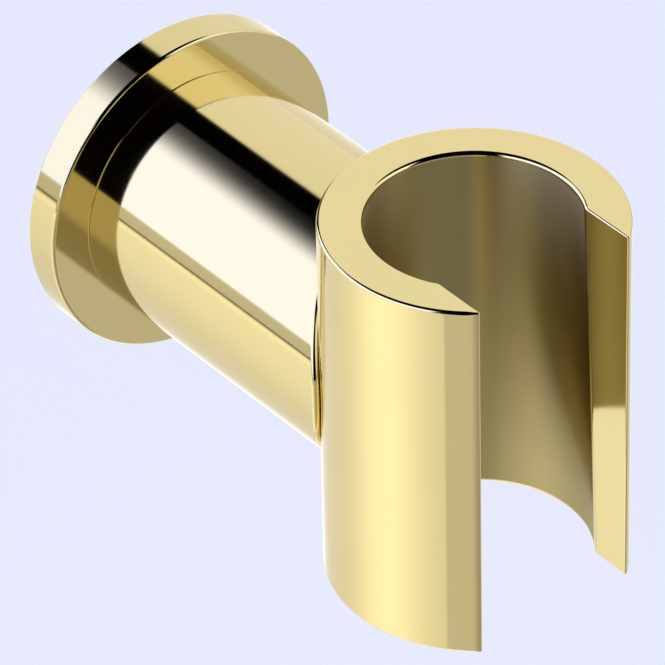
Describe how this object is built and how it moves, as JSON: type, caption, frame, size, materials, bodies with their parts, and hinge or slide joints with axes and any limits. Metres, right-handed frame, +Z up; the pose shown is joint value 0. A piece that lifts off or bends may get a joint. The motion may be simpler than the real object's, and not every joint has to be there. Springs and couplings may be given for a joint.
{
  "type": "shower wall bracket",
  "caption": "Fixed wall bracket for a hand shower: a slotted, taper-bored cradle on a short round arm with a round wall flange.",
  "frame": {"origin": "centre of the flange's back, on the arm's axis, where the wall screw's hole opens in the wall plane", "axes": "+Y into the wall, so the arm runs along -Y; +Z up along the cradle's axis as the picture shows it; +X to the right seen from in front"},
  "size_m": [0.0388, 0.0657, 0.0451],
  "materials": {
    "gold_brass": "polished pale gold coat",
    "raw_brass": "turned, uncoated",
    "screw_steel": "plain stainless",
    "o_ring_rubber": "matt black",
    "gasket_foam": "dark grey closed-cell foam rubber"
  },
  "bodies": {
    "root": {"flange": "gold_brass", "wall_gasket": "gasket_foam", "flange_o_ring": "o_ring_rubber", "wall_boss": "raw_brass", "arm": "gold_brass", "grub_screw": "screw_steel", "cradle": "gold_brass", "joint_screw": "screw_steel"}
  },
  "joints": []
}
